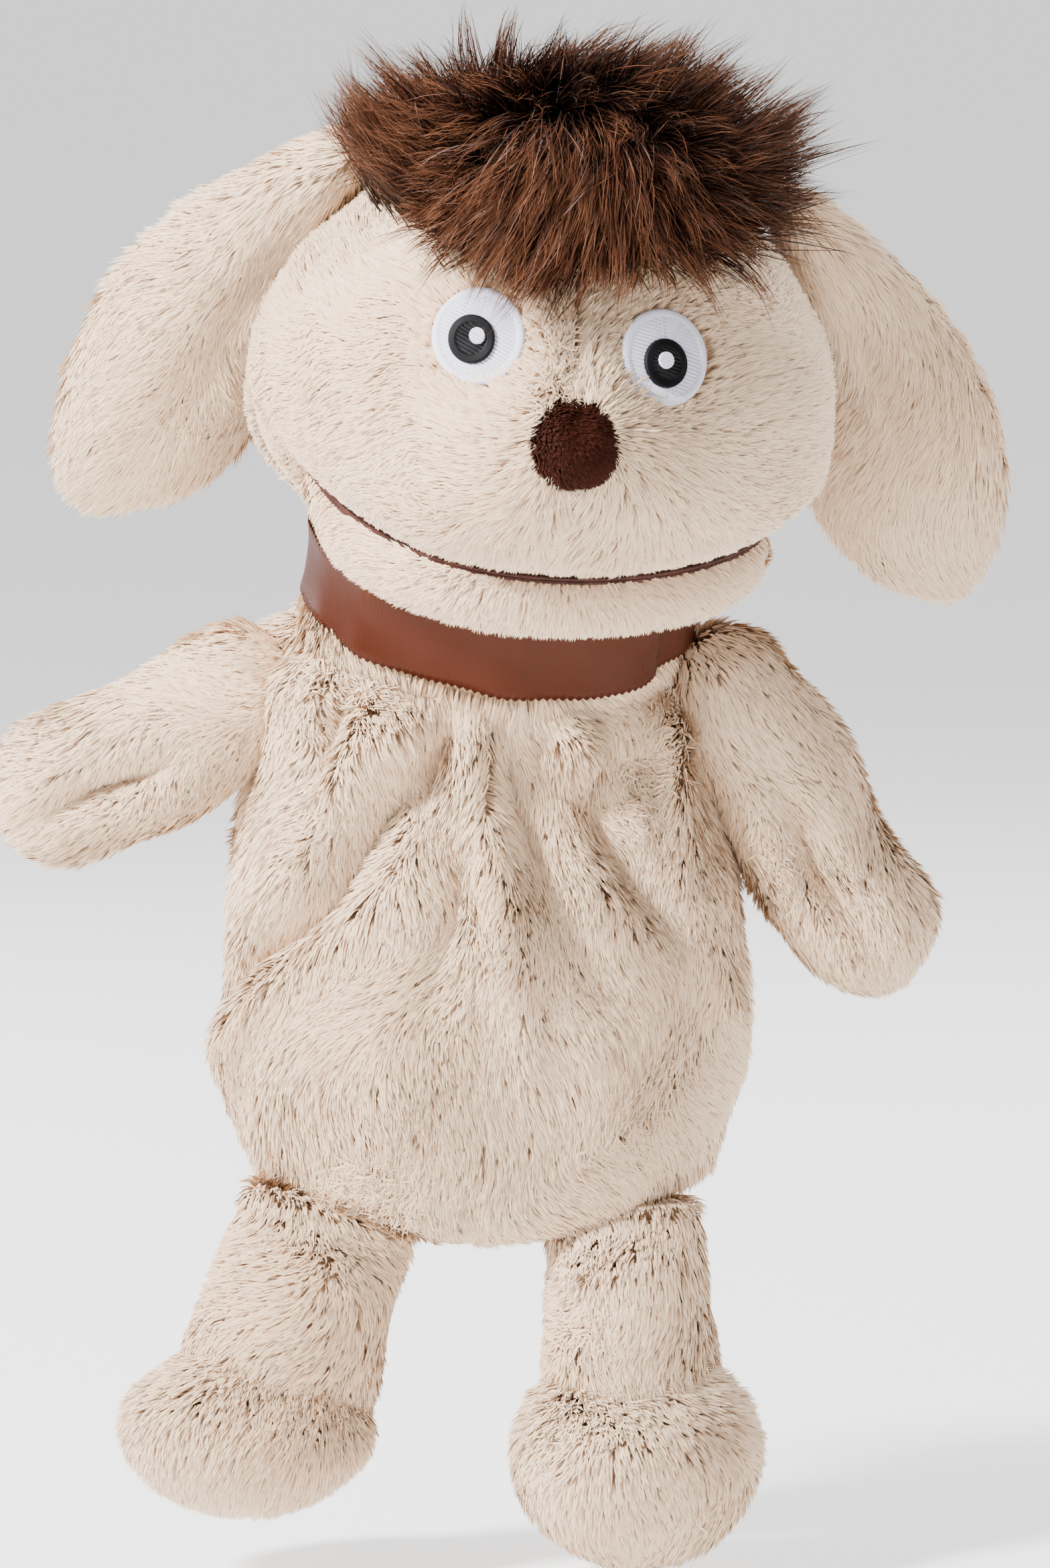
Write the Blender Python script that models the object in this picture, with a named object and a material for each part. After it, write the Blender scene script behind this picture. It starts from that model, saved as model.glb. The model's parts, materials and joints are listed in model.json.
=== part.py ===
"""A plush dog hand puppet, standing as it does on a hand: metres, +Z up, the dog faces -Y.

The origin is the middle of the hand opening at the sleeve's lower rim. Left and right are the dog's own,
so the left side is at +X. Every cloth piece is a panel with its own thickness, and the stuffing is separate.
"""

import math

import bmesh
import bpy
from mathutils import Matrix, Vector

# Cloth and sewing
SKIN = 0.0016  # plush cloth
FELT = 0.0010
LINING = 0.0006
SEAM = 0.0004  # gap between two panels that are sewn edge to edge
ROOM = 0.0005  # gap between a piece and the one it lies in or on
THINNEST = 0.0001  # where a cloth ends in a sharp edge

# Sleeve: an elliptical sack, open below for the hand and above for the neck
SLEEVE_X = -0.0035
SLEEVE_HEIGHT = 0.104
RIM_HALF = (0.045, 0.026)  # half width, half depth
BELLY_HALF = (0.052, 0.030)
TOP_HALF = (0.037, 0.027)
BELLY_SHARE = 0.35  # of the height, from the rim to the widest ring
RIM_RISE = 0.009  # the rim is higher at its sides

# Neck and collar
NECK_RISE = 0.022  # the neck's centre over the sleeve's top
NECK_CENTRE = Vector((-0.001, -0.002, SLEEVE_HEIGHT + NECK_RISE))
NECK_LEAN = math.radians(22)
NECK_ROLL = math.radians(7)
NECK_TUCK = 0.013  # the neck tube goes this far down into the sleeve
NECK_FOOT = SLEEVE_HEIGHT - NECK_TUCK
NECK_TOP_HALF = (0.036, 0.0255)
NECK_FOOT_HALF = (NECK_TOP_HALF[0] - 0.006, NECK_TOP_HALF[1] - 0.0055)
NECK_TOP = 0.005  # above the neck's centre, along its axis
NECK_SWAY = 0.0053  # how far the tube bends forward
RIBBON_WIDTH = 0.015
RIBBON_THICKNESS = 0.0006
RIBBON_GAP = 0.0009  # between the neck tube and the ribbon, for turning
RIBBON_TOP = 0.006

# Head
HEAD_HALF = (0.056, 0.046)
HEAD_UP = 0.048
HEAD_DOWN = 0.036
HEAD_OFFSET = Vector((0.0035, 0.003, RIBBON_TOP + HEAD_DOWN))  # from the neck's centre, in its frame
HEAD_YAW = math.radians(8)
HEAD_PITCH = math.radians(-10)
MUZZLE_OUT = 0.008
MUZZLE_ELEVATION = -0.05  # radians, as are the two half sizes of the bulge below
MUZZLE_HALF = (0.7, 0.42)
MOUTH = -0.0195  # height of the mouth's plane in the head's frame
MOUTH_HINGE = -0.0132  # the mouth's fold line, front to back
MOUTH_ANGLE = math.radians(64)  # half the arc of the lips
MOUTH_SEAM = 0.0002  # each lip's distance from the mouth's plane
FELT_SHORT = math.radians(3)  # the felts end this far inside each corner
CORNER_ANGLE = math.radians(70)  # where the upper lip ends
CHEEK_ANGLE = math.radians(90)  # where the skin has come down to the neck
NAPE_ELEVATION = math.radians(-50)
EAR_SEAM_ANGLE = math.radians(105)
CROWN_ELEVATION = math.radians(88)
JAW_FRONT = 0.014
JAW_BACK = 0.0105

# The hand's room in the head
PALM_HALF = (0.030, 0.021)
PALM_Y = 0.006
FINGERS_HALF = (0.028, 0.041)
FINGERS_TOP = 0.003
PALM_TOP = 0.005
HAND_FOOT = -0.05  # the rooms are open below, so the cutters start outside the head
POCKET_REACH = math.radians(75)  # how far the lining follows the fingers' room forward
POCKET_SLOPE = 0.6  # how much lower the lining is at the fingertips, as a share
THUMB_SPAN = (0.2, 0.8)  # of the jaw's width
THUMB_REACH = 0.8  # of the jaw's length

# Face and tuft
EYE_SPREAD = math.radians(23)
EYE_ELEVATION = math.radians(27.5)
EYE_RADIUS = 0.0095
PUPIL_RADIUS = 0.0048
GLINT_RADIUS = 0.0017
STITCH = 0.0007  # height of each embroidered layer
NOSE_ELEVATION = math.radians(9)
NOSE_RADIUS = 0.0092
NOSE_HEIGHT = 0.005
NOSE_RIM = 0.001
TUFT_HALF = (0.041, 0.029)
TUFT_HEIGHT = 0.023
TUFT_EDGE = 0.008
TUFT_ELEVATION = math.radians(84)

# Ears
EAR_LENGTH = 0.088
EAR_WIDTH = 0.037
EAR_ROOT = 0.009  # the ear reaches this far past its pivot
EAR_PUFF = 0.0033
EAR_FULLEST = 1.25  # over 1, the ear is widest past its middle
EAR_ROUND = 0.65  # under 1, the outline is fuller than a sine
EAR_PIVOT = Vector((HEAD_HALF[0] - 0.006, 0.019, HEAD_UP - 0.011))  # the left one, in the head's frame
EAR_HANG = {"left": math.radians(54), "right": math.radians(54)}
EAR_LEAN_BACK = math.radians(10)

# Arms
ARM_WIDTH = {"left": 0.032, "right": 0.030}
ARM_LENGTH = {"left": 0.061, "right": 0.046}  # from the pivot to the tip
ARM_HANG = {"left": math.radians(63), "right": math.radians(34)}
ARM_OUT = {"left": 0.0195, "right": 0.018}  # the pivot's distance from the sleeve's top
ARM_DROP = 0.001
ARM_Y = 0.002
ARM_PUFF = 0.007
ARM_EDGE = SKIN + 2 * ROOM + 0.0006  # half thickness at the arm's edge: skin, gaps and stuffing

# Legs and feet
HIP = {"left": Vector((0.024, -0.015, -0.002)), "right": Vector((-0.036, -0.015, -0.002))}
THIGH_LENGTH = 0.026
THIGH_WIDTH = 0.035
THIGH_DEPTH = 0.026
THIGH_SPLAY = {"left": math.radians(3), "right": math.radians(18)}  # outward
FOOT_LENGTH = {"left": 0.030, "right": 0.034}
FOOT_WIDTH = 0.048
FOOT_DEPTH = 0.036
FOOT_SWAY = {"left": 0.0, "right": -0.3}  # sideways for each unit of length
PINCH = 0.002  # half depth of a stuffed limb at its sewn end
PINCH_RAMP = 0.013
LEG_ROUND = 0.9  # share of the half depth that the round cross-section adds
FOOT_WIDEST = 0.42  # shares of the foot's length
FOOT_DEEPEST = 0.45
FOOT_WIDE_CURVE = 0.345  # squares of the shares over which the foot narrows to nothing
FOOT_DEEP_CURVE = 0.31
FILLING_SPAN = (0.12, 0.88)  # of a stuffed piece's length and width
FILLING_ACROSS = (0.14, 0.86)

CREAM = (0.62, 0.47, 0.34)
BROWN = (0.055, 0.022, 0.012)
RIBBON_BROWN = (0.16, 0.035, 0.012)
FELT_BROWN = (0.09, 0.03, 0.018)
WHITE = (0.78, 0.76, 0.86)
BLACK = (0.01, 0.01, 0.012)
FILLING = (0.85, 0.85, 0.83)
LINING_TAN = (0.5, 0.4, 0.3)


def make_material(name, rgb, roughness):
    made = bpy.data.materials.new(name)
    made.use_nodes = True
    shader = made.node_tree.nodes["Principled BSDF"]
    shader.inputs["Base Color"].default_value = (*rgb, 1)
    shader.inputs["Roughness"].default_value = roughness
    return made


def make_collection(name):
    made = bpy.data.collections.new(name)
    bpy.context.scene.collection.children.link(made)
    return made


def add_object(bm, name, rgb, frame, roughness=0.9):
    """Turns a bmesh into a named object. Its points are in the frame's own axes."""
    bmesh.ops.recalc_face_normals(bm, faces=bm.faces)
    if bm.calc_volume(signed=True) < 0:
        bmesh.ops.reverse_faces(bm, faces=bm.faces)
    mesh = bpy.data.meshes.new(name)
    bm.to_mesh(mesh)
    bm.free()
    mesh.shade_smooth()
    mesh.set_sharp_from_angle(angle=math.radians(40))
    made = bpy.data.objects.new(name, mesh)
    made.matrix_world = frame
    made.data.materials.append(make_material(name, rgb, roughness))
    puppet.objects.link(made)
    return made


def panel(name, rgb, frame, columns, rows, place):
    """A sheet of cloth: place(s, t, inner) gives a point for s and t from 0 to 1 and inner 0 or 1."""
    bm = bmesh.new()
    bmesh.ops.create_grid(bm, x_segments=columns, y_segments=rows, size=0.5)
    outer = list(bm.verts)
    grown = bmesh.ops.extrude_face_region(bm, geom=bm.faces[:], use_keep_orig=True)
    inner = [v for v in grown["geom"] if isinstance(v, bmesh.types.BMVert)]
    for depth, verts in ((0, outer), (1, inner)):
        for v in verts:
            v.co = place(v.co.x + 0.5, v.co.y + 0.5, depth)
    return add_object(bm, name, rgb, frame)


def band(name, rgb, frame, segments, rows, place, roughness=0.9):
    """A closed ring of cloth: place(angle, t, inner)."""
    bm = bmesh.new()
    bmesh.ops.create_cone(bm, segments=segments, radius1=1, radius2=1, depth=1, cap_ends=False)
    if rows > 1:
        upright = [e for e in bm.edges if abs(e.verts[0].co.z - e.verts[1].co.z) > 0.5]
        bmesh.ops.subdivide_edges(bm, edges=upright, cuts=rows - 1)
    outer = list(bm.verts)
    grown = bmesh.ops.extrude_face_region(bm, geom=bm.faces[:], use_keep_orig=True)
    inner = [v for v in grown["geom"] if isinstance(v, bmesh.types.BMVert)]
    for depth, verts in ((0, outer), (1, inner)):
        for v in verts:
            v.co = place(math.atan2(v.co.y, v.co.x), v.co.z + 0.5, depth)
    return add_object(bm, name, rgb, frame, roughness)


def turn(axis, angle):
    return Matrix.Rotation(angle, 4, axis)


def mix(a, b, share):
    return a + (b - a) * share


def smooth(x):
    x = min(max(x, 0), 1)
    return x * x * (3 - 2 * x)


# Frames of the neck and the head, at rest
NECK = Matrix.Translation(NECK_CENTRE) @ turn("Y", NECK_ROLL) @ turn("X", NECK_LEAN)
HEAD = NECK @ Matrix.Translation(HEAD_OFFSET) @ turn("Z", HEAD_YAW) @ turn("X", HEAD_PITCH)


def sleeve_half(axis, share):
    """Half width (axis 0) or half depth (axis 1) of the sleeve at a share of its height."""
    if share < BELLY_SHARE:
        return mix(RIM_HALF[axis], BELLY_HALF[axis], math.sin(math.pi / 2 * share / BELLY_SHARE))
    up = ((share - BELLY_SHARE) / (1 - BELLY_SHARE)) ** 1.4
    return mix(TOP_HALF[axis], BELLY_HALF[axis], math.cos(math.pi / 2 * up))


def make_sleeve():
    for name, side in (("body_front", -1), ("body_back", 1)):

        def place(s, t, inner, side=side):
            angle = math.pi * s
            x = (sleeve_half(0, t) - inner * SKIN) * math.cos(angle)
            y = (sleeve_half(1, t) - inner * SKIN) * math.sin(angle) + SEAM / 2
            rise = RIM_RISE * abs(math.cos(angle)) ** 2 * (1 - t)
            return Vector((SLEEVE_X + x, side * y, SLEEVE_HEIGHT * t + rise))

        panel(name, CREAM, Matrix(), 16, 7, place)


def neck_ring(share, angle, inset):
    """A point of the bending neck tube, from its foot (share 0) to its top (share 1)."""
    top = NECK @ Vector((0, 0, NECK_TOP))
    bend = -NECK_SWAY * (share**3 - 1)
    centre = Vector((top.x * share + SLEEVE_X * (1 - share), top.y + bend, mix(NECK_FOOT, top.z, share)))
    half = [mix(NECK_FOOT_HALF[k], NECK_TOP_HALF[k], share) - inset for k in (0, 1)]
    ring = Vector((half[0] * math.cos(angle), half[1] * math.sin(angle), 0))
    return centre + (turn("Y", NECK_ROLL * share) @ turn("X", NECK_LEAN * share)) @ ring


def make_neck():
    band("neck_tube", CREAM, Matrix(), 32, 4, lambda a, t, inner: neck_ring(t, a, inner * SKIN))

    def place(angle, t, inner):
        lift = RIBBON_GAP + (1 - inner) * RIBBON_THICKNESS
        x = (NECK_TOP_HALF[0] + lift) * math.cos(angle)
        y = (NECK_TOP_HALF[1] + lift) * math.sin(angle)
        return Vector((x, y, RIBBON_TOP - RIBBON_WIDTH * (1 - t)))

    band("collar_ribbon", RIBBON_BROWN, NECK, 32, 1, place, 0.35)


def head_point(azimuth, elevation, inset=0):
    """A point of the head's skin. Azimuth 0 is the nose's side, and grows towards the dog's left."""
    d = Vector(
        (
            math.sin(azimuth) * math.cos(elevation),
            -math.cos(azimuth) * math.cos(elevation),
            math.sin(elevation),
        )
    )
    height = HEAD_UP if d.z > 0 else HEAD_DOWN
    sideways = azimuth / MUZZLE_HALF[0]
    upward = (elevation - MUZZLE_ELEVATION) / MUZZLE_HALF[1]
    bulge = MUZZLE_OUT * math.exp(-(sideways**2) - upward**2)
    return Vector(((HEAD_HALF[0] - inset) * d.x, (HEAD_HALF[1] - inset) * d.y - bulge, (height - inset) * d.z))


MOUTH_ELEVATION = math.asin(MOUTH / HEAD_DOWN)


def lip(azimuth, inset):
    """The upper lip's edge, brought into the mouth's plane."""
    point = head_point(azimuth, MOUTH_ELEVATION, inset)
    return Vector((point.x, point.y, MOUTH))


def skin_foot(azimuth):
    """The elevation of the skin's lower edge: the mouth in front, the neck opening behind."""
    share = (abs(azimuth) - CORNER_ANGLE) / (CHEEK_ANGLE - CORNER_ANGLE)
    return mix(MOUTH_ELEVATION, NAPE_ELEVATION, smooth(share))


def make_head_skin():
    seam = SEAM / 2 / HEAD_HALF[0]
    panels = (
        ("face_left_panel", seam, EAR_SEAM_ANGLE - seam, 9),
        ("face_right_panel", -EAR_SEAM_ANGLE + seam, -seam, 9),
        ("head_back_panel", EAR_SEAM_ANGLE + seam, 2 * math.pi - EAR_SEAM_ANGLE - seam, 12),
    )
    for name, low, high, columns in panels:

        def place(s, t, inner, low=low, high=high):
            azimuth = mix(low, high, s)
            wrapped = azimuth if azimuth < math.pi else azimuth - 2 * math.pi
            elevation = mix(skin_foot(wrapped), CROWN_ELEVATION, t)
            point = head_point(wrapped, elevation, inner * SKIN)
            if t == 0 and abs(wrapped) < CORNER_ANGLE + seam:
                point.z = MOUTH + MOUTH_SEAM
            if abs(low) == seam or abs(high) == seam:
                point.x += math.copysign(SEAM / 2, low + high) * math.sin(elevation) ** 2
            return point

        panel(name, CREAM, HEAD, columns, 7, place)


def make_head_filling():
    """The stuffing over the hand, hollowed for the palm and for four fingers."""
    floor = MOUTH + MOUTH_SEAM + FELT + ROOM
    bm = bmesh.new()
    bmesh.ops.create_uvsphere(bm, u_segments=24, v_segments=14, radius=1)
    for v in bm.verts:
        azimuth = math.atan2(v.co.x, -v.co.y)
        point = head_point(azimuth, math.asin(max(-1, min(1, v.co.z))), SKIN + 4 * ROOM)
        v.co = Vector((point.x, point.y, max(point.z, floor)))
    filling = add_object(bm, "head_filling", FILLING, HEAD)

    rooms = (("palm_cutter", PALM_HALF, PALM_TOP), ("fingers_cutter", FINGERS_HALF, FINGERS_TOP))
    for name, half, top in rooms:
        bm = bmesh.new()
        bmesh.ops.create_cone(bm, segments=24, radius1=1, radius2=1, depth=1, cap_ends=True)
        for v in bm.verts:
            v.co = Vector((half[0] * v.co.x, PALM_Y + half[1] * v.co.y, top if v.co.z > 0 else HAND_FOOT))
        cutter = add_object(bm, name, LINING_TAN, HEAD)
        puppet.objects.unlink(cutter)
        cutters.objects.link(cutter)
        cutter.hide_render = True
        cutter.display_type = "WIRE"
        cut = filling.modifiers.new(cutter.name, "BOOLEAN")
        cut.operation = "DIFFERENCE"
        cut.object = cutter


def make_finger_pocket():
    """An arched lining over the four fingers, sewn along the palate."""
    foot = MOUTH + MOUTH_SEAM + FELT + 2 * ROOM

    def place(s, t, inner):
        angle = math.pi * s
        forward = POCKET_REACH * (1 - t)
        height = (FINGERS_TOP - foot - 2 * ROOM) * (1 - POCKET_SLOPE * (1 - t) ** 3) - inner * LINING
        half = (FINGERS_HALF[0] - 3 * ROOM) * math.cos(forward) - inner * LINING
        y = PALM_Y - (FINGERS_HALF[1] - 3 * ROOM) * math.sin(forward)
        return Vector((half * math.cos(angle), y, foot + height * math.sin(angle)))

    panel("finger_pocket", LINING_TAN, HEAD, 12, 4, place)


def mouth_sheet(s, t, height):
    """A point of a felt: s along the lips, t from the fold line to the lips."""
    edge = lip(mix(-1, 1, s) * (MOUTH_ANGLE - FELT_SHORT), SKIN + 3 * ROOM)
    return Vector((edge.x, mix(MOUTH_HINGE, edge.y, t), height))


def make_mouth_felts():
    low = MOUTH + MOUTH_SEAM
    panel("upper_mouth_felt", FELT_BROWN, HEAD, 12, 2, lambda s, t, i: mouth_sheet(s, t, low + i * FELT))
    high = MOUTH - MOUTH_SEAM
    panel("lower_mouth_felt", FELT_BROWN, HEAD, 12, 2, lambda s, t, i: mouth_sheet(s, t, high - i * FELT))


def jaw_point(s, t, inset):
    """A point of the jaw's underside: s along the lip, t from the throat to the lip."""
    azimuth = mix(-1, 1, s) * MOUTH_ANGLE
    edge = lip(azimuth, inset)
    thickness = mix(JAW_BACK, JAW_FRONT, t) * math.sqrt(1 - (abs(azimuth) / CORNER_ANGLE) ** 4 * 0.9)
    drop = max(thickness * math.sqrt(1 - t**4) - inset, 0)
    return Vector((edge.x, mix(MOUTH_HINGE, edge.y, t), MOUTH - MOUTH_SEAM - drop))


def make_jaw():
    panel("jaw_skin", CREAM, HEAD, 14, 7, lambda s, t, inner: jaw_point(s, t, inner * SKIN))

    def place(s, t, inner):
        point = jaw_point(mix(*THUMB_SPAN, s), THUMB_REACH * t, SKIN + ROOM + inner * LINING)
        under_felt = MOUTH - MOUTH_SEAM - FELT - ROOM - inner * THINNEST
        return Vector((point.x, point.y, min(point.z, under_felt)))

    panel("thumb_pocket", LINING_TAN, HEAD, 8, 4, place)


def patch(name, rgb, azimuth, elevation, half, low, high, grid):
    """A round piece lying on the head: low and high give its two surfaces' heights from r, 0 to 1."""
    centre = head_point(azimuth, elevation)
    out = Vector((centre.x / HEAD_HALF[0] ** 2, centre.y / HEAD_HALF[1] ** 2, centre.z / HEAD_UP**2)).normalized()
    across = Vector((0, 0, 1)).cross(out).normalized()
    if abs(out.z) > 0.9:
        across = Vector((1, 0, 0))
    up = out.cross(across).normalized()

    def place(s, t, inner):
        a, b = 2 * s - 1, 2 * t - 1
        x, y = a * math.sqrt(1 - b * b / 2), b * math.sqrt(1 - a * a / 2)
        near = centre + across * (half[0] * x) + up * (half[1] * y)
        flat = Vector((near.x / HEAD_HALF[0], near.y / HEAD_HALF[1], near.z / HEAD_UP)).normalized()
        base = head_point(math.atan2(flat.x, -flat.y), math.asin(flat.z))
        r = min(math.hypot(x, y), 1)
        return base + out * (low(r) if inner else high(r))

    return panel(name, rgb, HEAD, grid, grid, place)


def make_face():
    for side, sign in (("left", 1), ("right", -1)):
        floor = ROOM
        layers = (
            ("white", WHITE, EYE_RADIUS, 6),
            ("pupil", BLACK, PUPIL_RADIUS, 4),
            ("glint", WHITE, GLINT_RADIUS, 3),
        )
        for layer, rgb, radius, grid in layers:
            low, high = floor, floor + STITCH
            patch(
                f"{side}_eye_{layer}", rgb, sign * EYE_SPREAD, EYE_ELEVATION, (radius, radius),
                lambda r, low=low: low, lambda r, high=high: high, grid,
            )
            floor = high + SEAM
    patch(
        "nose", BROWN, 0, NOSE_ELEVATION, (NOSE_RADIUS, NOSE_RADIUS),
        lambda r: ROOM, lambda r: ROOM + NOSE_RIM + (NOSE_HEIGHT - NOSE_RIM) * math.sqrt(1 - r**4), 6,
    )


def make_tuft():
    top = ROOM + SKIN
    patch("tuft_backing", BROWN, 0, TUFT_ELEVATION, TUFT_HALF, lambda r: ROOM, lambda r: top, 8)
    base = top + ROOM
    patch(
        "hair_tuft", BROWN, 0, TUFT_ELEVATION, TUFT_HALF, lambda r: base,
        lambda r: base + mix(TUFT_HEIGHT, TUFT_EDGE, r**3), 10,
    )


def ear_shape(s, t):
    """(along, across, half thickness) of an ear: s from root to tip, t across."""
    s = mix(0.01, 0.99, s)
    half_width = EAR_WIDTH / 2 * math.sin(math.pi * s**EAR_FULLEST) ** EAR_ROUND
    across = 2 * t - 1
    puff = EAR_PUFF * (1 - across**2) * math.sqrt(math.sin(math.pi * s))
    return mix(-EAR_ROOT, EAR_LENGTH, s), half_width * across, SKIN + SEAM / 2 + puff


def limb_frame(pivot, side, hang):
    """Its X runs along the limb, its Y towards the dog's back."""
    sign = 1 if side == "left" else -1
    along = Vector((sign * math.cos(hang), 0, -math.sin(hang)))
    back = Vector((0, 1, 0))
    across = along.cross(back)
    axes = Matrix((along, back, across)).transposed().to_4x4()
    return Matrix.Translation(pivot) @ axes


def make_ears():
    for side, sign in (("left", 1), ("right", -1)):
        pivot = Vector((sign * EAR_PIVOT.x, EAR_PIVOT.y, EAR_PIVOT.z))
        frame = HEAD @ Matrix.Translation(pivot) @ turn("X", EAR_LEAN_BACK)
        frame = frame @ limb_frame(Vector(), side, EAR_HANG[side])
        for face, way in (("front", -1), ("back", 1)):

            def place(s, t, inner, way=way):
                along, across, half = ear_shape(s, t)
                return Vector((along, way * (SEAM / 2 if inner else half), across))

            panel(f"{side}_ear_{face}", CREAM, frame, 8, 4, place)


def stuffed(names, frame, shape, columns, rows):
    """Front and back panels round a filling. shape(s, t) gives (along, across, half thickness)."""
    for name, way in zip(names[:2], (-1, 1)):

        def place(s, t, inner, way=way):
            along, across, half = shape(s, t)
            depth = max(half - SKIN, SEAM / 2) if inner else half
            return Vector((along, way * depth, across))

        panel(name, CREAM, frame, columns, rows, place)

    def place_filling(s, t, inner):
        along, across, half = shape(mix(*FILLING_SPAN, s), mix(*FILLING_ACROSS, t))
        depth = max(half - SKIN - 3 * ROOM, THINNEST)
        return Vector((along, -depth if inner else depth, across))

    panel(names[2], FILLING, frame, columns - 2, rows - 1, place_filling)


def arm_shape(side):
    """Round at the shoulder, where it turns about its pivot, and round at the tip."""
    radius = ARM_WIDTH[side] / 2
    tip = ARM_LENGTH[side]

    def shape(s, t):
        turned = math.pi * (1 - s)
        along = (tip - radius) / 2 + (tip + radius) / 2 * math.cos(turned)
        ends = min((along + radius) / radius, (tip - along) / radius, 1)
        half_width = radius * math.sqrt(max(1 - (1 - ends) ** 2, 0.004))
        across = 2 * t - 1
        puff = ARM_PUFF * (1 - across**2) * math.sqrt(math.sin(math.pi * mix(0.02, 0.98, s)))
        return along, half_width * across, ARM_EDGE + puff

    return shape


def make_arms():
    for side in ("left", "right"):
        sign = 1 if side == "left" else -1
        pivot = Vector((SLEEVE_X + sign * (TOP_HALF[0] + ARM_OUT[side]), ARM_Y, SLEEVE_HEIGHT - ARM_DROP))
        frame = limb_frame(pivot, side, ARM_HANG[side])
        names = (f"{side}_arm_front", f"{side}_arm_back", f"{side}_arm_filling")
        stuffed(names, frame, arm_shape(side), 8, 4)


def leg_shape(length, width, depth, foot, sway=0):
    """A stuffed piece whose sewn ends are pinched flat, so that it can swing there."""

    def shape(s, t):
        along = length * s
        across = 2 * t - 1
        ends = smooth(along / PINCH_RAMP)
        if foot:
            ends *= math.sqrt(max(1 - max(s - FOOT_DEEPEST, 0) ** 2 / FOOT_DEEP_CURVE, 0.01))
            half_width = width / 2 * math.sqrt(max(1 - (s - FOOT_WIDEST) ** 2 / FOOT_WIDE_CURVE, 0.01))
        else:
            ends *= smooth((length - along) / PINCH_RAMP)
            half_width = width / 2
        round_side = math.sqrt(max(1 - across**2, 0)) * LEG_ROUND
        shift = sway * along * smooth(along / PINCH_RAMP)
        return along, half_width * across + shift, PINCH + SKIN / 2 + (depth / 2 - PINCH) * ends * round_side

    return shape


def make_legs():
    for side in ("left", "right"):
        thigh = limb_frame(HIP[side], side, math.pi / 2 - THIGH_SPLAY[side])
        names = (f"{side}_thigh_front", f"{side}_thigh_back", f"{side}_thigh_filling")
        stuffed(names, thigh, leg_shape(THIGH_LENGTH, THIGH_WIDTH, THIGH_DEPTH, False), 6, 6)
        ankle = thigh @ Vector((THIGH_LENGTH + 2 * SEAM, 0, 0))
        foot = limb_frame(ankle, side, math.pi / 2 - THIGH_SPLAY[side])
        names = (f"{side}_foot_upper", f"{side}_foot_sole", f"{side}_foot_filling")
        shape = leg_shape(FOOT_LENGTH[side], FOOT_WIDTH, FOOT_DEPTH, True, FOOT_SWAY[side])
        stuffed(names, foot, shape, 7, 6)


for leftover in list(bpy.data.objects):
    bpy.data.objects.remove(leftover, do_unlink=True)
puppet = make_collection("dog_hand_puppet")
cutters = make_collection("cutters")
make_sleeve()
make_neck()
make_head_skin()
make_head_filling()
make_finger_pocket()
make_mouth_felts()
make_jaw()
make_face()
make_tuft()
make_ears()
make_arms()
make_legs()
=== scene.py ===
"""The looks of the plush dog hand puppet: soft forms, pile of real strands, ribbon, embroidery and felt.

Left and right are the dog's own: its left is at +X, and it faces -Y. Lengths are in metres.
"""

import json
import math

import bmesh
import bpy
import numpy as np
from mathutils import Matrix, Vector
from mathutils.kdtree import KDTree


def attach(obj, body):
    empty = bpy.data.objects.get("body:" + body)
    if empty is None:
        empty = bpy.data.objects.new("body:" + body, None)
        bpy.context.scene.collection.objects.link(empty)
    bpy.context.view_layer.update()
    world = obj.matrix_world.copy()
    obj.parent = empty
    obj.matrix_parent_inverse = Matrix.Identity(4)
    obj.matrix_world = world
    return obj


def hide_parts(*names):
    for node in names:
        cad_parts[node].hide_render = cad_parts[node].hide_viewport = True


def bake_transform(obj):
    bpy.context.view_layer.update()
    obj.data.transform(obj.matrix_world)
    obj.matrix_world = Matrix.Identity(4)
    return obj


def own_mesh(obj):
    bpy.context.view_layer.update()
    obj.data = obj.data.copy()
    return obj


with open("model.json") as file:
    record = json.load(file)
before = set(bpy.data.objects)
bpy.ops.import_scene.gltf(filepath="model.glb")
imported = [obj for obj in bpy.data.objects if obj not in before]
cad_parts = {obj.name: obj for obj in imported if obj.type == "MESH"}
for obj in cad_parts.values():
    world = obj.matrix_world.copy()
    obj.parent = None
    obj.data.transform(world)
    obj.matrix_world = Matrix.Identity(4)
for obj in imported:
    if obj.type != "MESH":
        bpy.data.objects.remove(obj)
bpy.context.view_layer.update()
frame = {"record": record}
JOINTS = {j["name"]: j for j in frame["record"]["behaviour"]["joints"]}

# Camera: level with the object's middle, a long lens, looking a little down
VIEW_CENTRE = Vector((0.0045, 0, 0.088))
VIEW_HEIGHT = 0.3062
VIEW_DISTANCE = 1.9
VIEW_ELEVATION = math.radians(6)
SENSOR = 36.0
FLOOR_Z = -0.066

# The neck's and the head's frames, as in the CAD model
NECK_CENTRE = Vector(JOINTS["head_turn"]["pos_m"])
NECK_LEAN = math.radians(22)
NECK_ROLL = math.radians(7)
HEAD_OFFSET = Vector((0.0035, 0.003, 0.042))
HEAD_YAW = math.radians(8)
HEAD_PITCH = math.radians(-10)

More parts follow.
